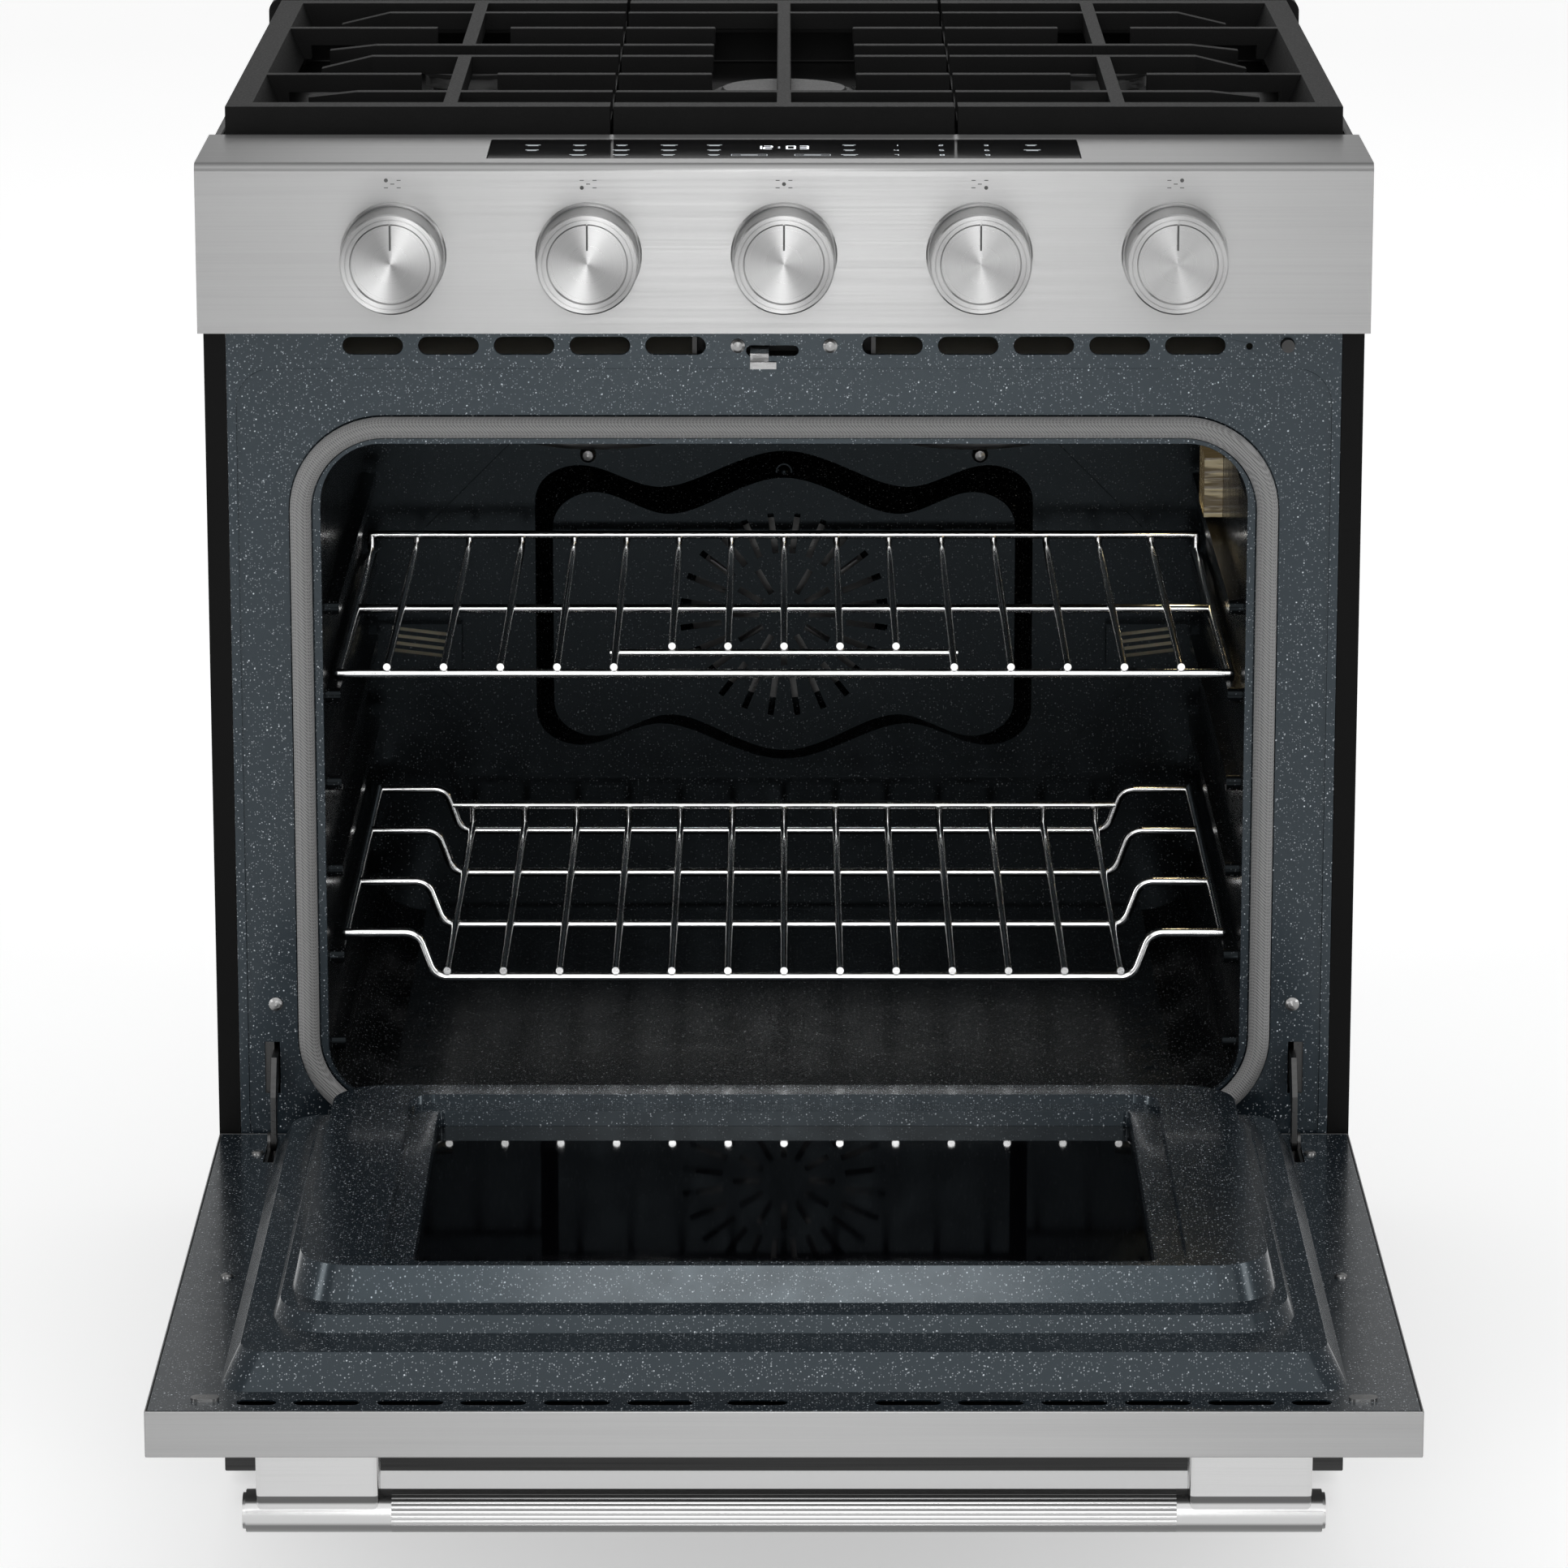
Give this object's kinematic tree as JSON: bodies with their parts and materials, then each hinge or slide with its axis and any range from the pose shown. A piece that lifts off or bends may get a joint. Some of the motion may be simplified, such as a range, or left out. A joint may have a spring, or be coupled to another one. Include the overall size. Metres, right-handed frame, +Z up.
{
  "type": "freestanding gas range",
  "caption": "Freestanding gas range with burners under cast grates, front knobs, a convection oven with racks, its drop-down door open, and a storage drawer.",
  "frame": {"origin": "on the floor, under the centre of the box around the whole range with its door open", "axes": "+X to the range's right seen from its front, +Y to its rear, +Z up"},
  "size_m": [0.759, 1.224, 0.932],
  "materials": {
    "stainless": "horizontal brushed grain",
    "side_paint": "satin black",
    "zinc_sheet": "dull galvanised sheet",
    "dark_plastic": "matte black",
    "door_enamel": "gloss enamel with fine pale specks",
    "oven_enamel": "gloss dark enamel with fine pale specks",
    "screw_steel": "plain polished steel",
    "mineral_wool": "loose fibre",
    "burner_steel": "heat-darkened steel",
    "gasket_braid": "woven grey braid",
    "lamp_glass": "clear pressed glass",
    "rack_chrome": "bright plated wire",
    "cooktop_enamel": "gloss black enamel",
    "burner_aluminium": "cast satin",
    "cap_enamel": "matte black enamel",
    "igniter_ceramic": "white ceramic",
    "cast_black": "matte black",
    "panel_glass": "black gloss with pale legends",
    "knob_metal": "circular spun grain",
    "valve_brass": "machined",
    "pipe_aluminium": "plain tube",
    "hinge_steel": "dark plated steel",
    "window_glass": "clear gloss",
    "dark_window_glass": "dark gloss",
    "handle_metal": "bright fluted metal",
    "drawer_steel": "dark horizontal brushed grain"
  },
  "bodies": {
    "range_body": {"side_panel_left": "side_paint", "side_panel_right": "side_paint", "rear_panel": "zinc_sheet", "base_frame": "zinc_sheet", "levelling_legs": "dark_plastic", "front_frame": "door_enamel", "frame_screws": "screw_steel", "oven_liner": "oven_enamel", "oven_insulation": "mineral_wool", "oven_floor": "oven_enamel", "bake_burner": "burner_steel", "broil_burner": "burner_steel", "door_gasket": "gasket_braid", "convection_cover": "oven_enamel", "convection_motor": "zinc_sheet", "oven_lamp": "lamp_glass", "cooktop_pan": "cooktop_enamel", "rear_vent_trim": "cooktop_enamel", "burner_heads": "burner_aluminium", "burner_caps": "cap_enamel", "spark_igniters": "igniter_ceramic", "control_panel": "stainless", "control_glass": "panel_glass", "control_board": "dark_plastic", "knob_bezels": "knob_metal", "burner_valves": "valve_brass", "gas_manifold": "pipe_aluminium", "burner_feed_tubes": "pipe_aluminium", "pressure_regulator": "pipe_aluminium", "hinge_arms": "hinge_steel", "latch_bracket": "zinc_sheet", "drawer_rails": "zinc_sheet"},
    "door": {"door_hinge_channels": "hinge_steel", "door_outer_panel": "stainless", "door_inner_panel": "door_enamel", "door_inner_glass": "window_glass", "door_outer_glass": "dark_window_glass", "door_screws": "screw_steel", "door_handle_bar": "handle_metal", "door_handle_posts": "handle_metal"},
    "drawer": {"drawer_front": "drawer_steel", "drawer_box": "zinc_sheet"},
    "rack_high": {"upper_rack": "rack_chrome"},
    "rack_low": {"lower_rack": "rack_chrome"},
    "grate_l": {"grate_left": "cast_black"},
    "grate_c": {"grate_center": "cast_black"},
    "grate_r": {"grate_right": "cast_black"},
    "fan": {"convection_fan": "burner_steel"},
    "latch": {"door_latch": "screw_steel"},
    "light_switch": {"light_switch_plunger": "dark_plastic"},
    "stem_1": {"valve_stem_1": "valve_brass"},
    "stem_2": {"valve_stem_2": "valve_brass"},
    "stem_3": {"valve_stem_3": "valve_brass"},
    "stem_4": {"valve_stem_4": "valve_brass"},
    "stem_5": {"valve_stem_5": "valve_brass"},
    "dial_1": {"knob_1": "knob_metal"},
    "dial_2": {"knob_2": "knob_metal"},
    "dial_3": {"knob_3": "knob_metal"},
    "dial_4": {"knob_4": "knob_metal"},
    "dial_5": {"knob_5": "knob_metal"}
  },
  "joints": [
    {"name": "door_hinge", "type": "hinge", "parent": "range_body", "child": "door", "pos_m": [0, -0.0685, 0.2535], "axis": [1, 0, 0], "range_deg": [-90, 0]},
    {"name": "drawer_slide", "type": "slide", "parent": "range_body", "child": "drawer", "axis": [0, -1, 0], "range_m": [0, 0.4]},
    {"name": "upper_rack_slide", "type": "slide", "parent": "range_body", "child": "rack_high", "axis": [0, -1, 0], "range_m": [0, 0.33]},
    {"name": "lower_rack_slide", "type": "slide", "parent": "range_body", "child": "rack_low", "axis": [0, -1, 0], "range_m": [0, 0.33]},
    {"name": "grate_left_lift", "type": "slide", "parent": "range_body", "child": "grate_l", "axis": [0, 0, 1], "range_m": [0, 0.15]},
    {"name": "grate_center_lift", "type": "slide", "parent": "range_body", "child": "grate_c", "axis": [0, 0, 1], "range_m": [0, 0.15]},
    {"name": "grate_right_lift", "type": "slide", "parent": "range_body", "child": "grate_r", "axis": [0, 0, 1], "range_m": [0, 0.15]},
    {"name": "fan_spin", "type": "hinge", "parent": "range_body", "child": "fan", "pos_m": [0, 0.44, 0.503], "axis": [0, 1, 0], "continuous": true},
    {"name": "latch_slide", "type": "slide", "parent": "range_body", "child": "latch", "axis": [1, 0, 0], "range_m": [0, 0.008]},
    {"name": "light_switch_push", "type": "slide", "parent": "range_body", "child": "light_switch", "axis": [0, -1, 0], "range_m": [-0.005, 0], "stiffness_N_per_m": 100},
    {"name": "stem_1_turn", "type": "hinge", "parent": "range_body", "child": "stem_1", "pos_m": [-0.252, -0.08, 0.8555], "axis": [0, -1, 0], "range_deg": [0, 270]},
    {"name": "stem_2_turn", "type": "hinge", "parent": "range_body", "child": "stem_2", "pos_m": [-0.126, -0.08, 0.8555], "axis": [0, -1, 0], "range_deg": [0, 270]},
    {"name": "stem_3_turn", "type": "hinge", "parent": "range_body", "child": "stem_3", "pos_m": [0, -0.08, 0.8555], "axis": [0, -1, 0], "range_deg": [0, 270]},
    {"name": "stem_4_turn", "type": "hinge", "parent": "range_body", "child": "stem_4", "pos_m": [0.126, -0.08, 0.8555], "axis": [0, -1, 0], "range_deg": [0, 270]},
    {"name": "stem_5_turn", "type": "hinge", "parent": "range_body", "child": "stem_5", "pos_m": [0.252, -0.08, 0.8555], "axis": [0, -1, 0], "range_deg": [0, 270]},
    {"name": "knob_1_push", "type": "slide", "parent": "stem_1", "child": "dial_1", "axis": [0, 1, 0], "range_m": [0, 0.0025], "stiffness_N_per_m": 300},
    {"name": "knob_2_push", "type": "slide", "parent": "stem_2", "child": "dial_2", "axis": [0, 1, 0], "range_m": [0, 0.0025], "stiffness_N_per_m": 300},
    {"name": "knob_3_push", "type": "slide", "parent": "stem_3", "child": "dial_3", "axis": [0, 1, 0], "range_m": [0, 0.0025], "stiffness_N_per_m": 300},
    {"name": "knob_4_push", "type": "slide", "parent": "stem_4", "child": "dial_4", "axis": [0, 1, 0], "range_m": [0, 0.0025], "stiffness_N_per_m": 300},
    {"name": "knob_5_push", "type": "slide", "parent": "stem_5", "child": "dial_5", "axis": [0, 1, 0], "range_m": [0, 0.0025], "stiffness_N_per_m": 300}
  ]
}
